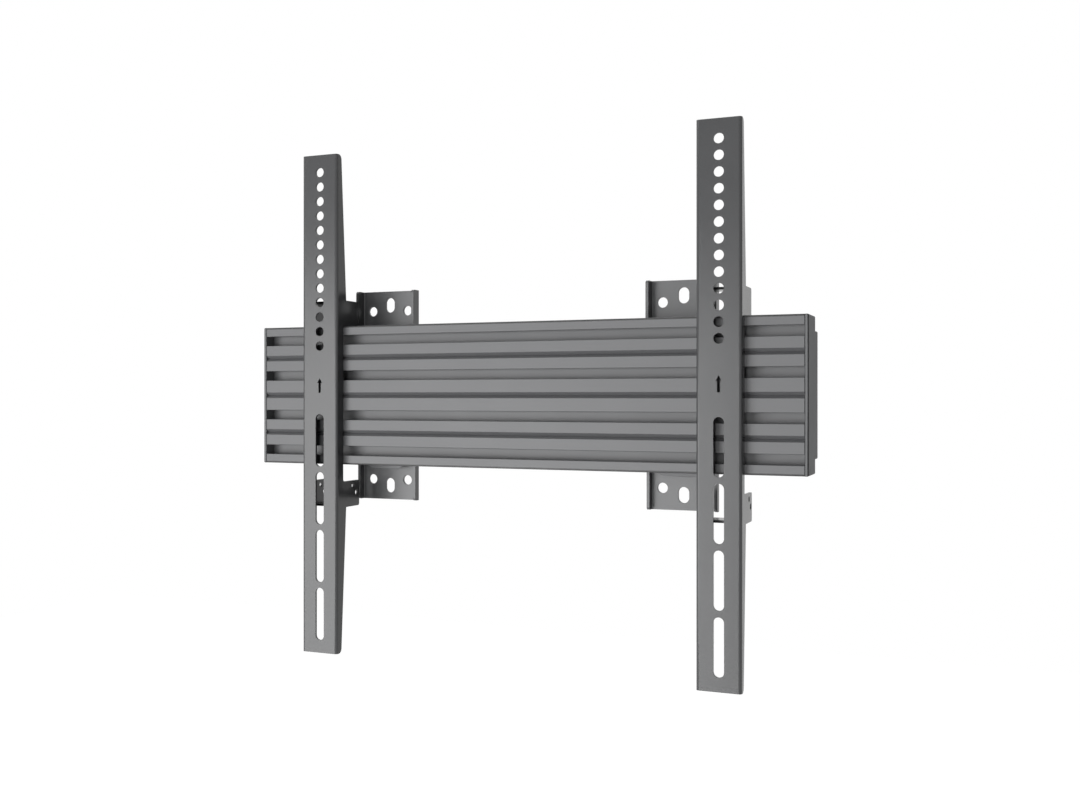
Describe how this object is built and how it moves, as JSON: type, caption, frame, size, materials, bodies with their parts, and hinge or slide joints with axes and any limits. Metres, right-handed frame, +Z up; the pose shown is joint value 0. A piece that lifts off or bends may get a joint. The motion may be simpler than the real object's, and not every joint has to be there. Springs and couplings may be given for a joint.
{
  "type": "fixed tv wall bracket",
  "caption": "Flat wall bracket for a display: a slotted aluminium rail on folded wall plates, with two pierced upright arms hooked over it.",
  "frame": {"origin": "on the wall plane, at the middle of the wall screw pattern, level with the rail's mid height", "axes": "+X along the rail to the right as seen from the room, +Y into the wall, +Z up"},
  "size_m": [0.48, 0.0535, 0.43],
  "materials": {
    "arm": "satin dark grey powder coat",
    "plate": "satin dark grey powder coat",
    "rail": "grey coated extrusion, satin",
    "cap": "fine matte texture",
    "latch": "dark coated spring strip",
    "rivet": "zinc plated"
  },
  "bodies": {
    "root": {"rail_profile": "rail", "end_cap_left": "cap", "wall_plate_left": "plate", "snap_latch_left": "latch", "latch_rivet_left_outer": "rivet", "latch_rivet_left_inner": "rivet", "display_arm_left": "arm", "hook_web_left": "arm", "tab_web_left": "arm", "end_cap_right": "cap", "wall_plate_right": "plate", "snap_latch_right": "latch", "latch_rivet_right_outer": "rivet", "latch_rivet_right_inner": "rivet", "display_arm_right": "arm", "hook_web_right": "arm", "tab_web_right": "arm"}
  },
  "joints": []
}
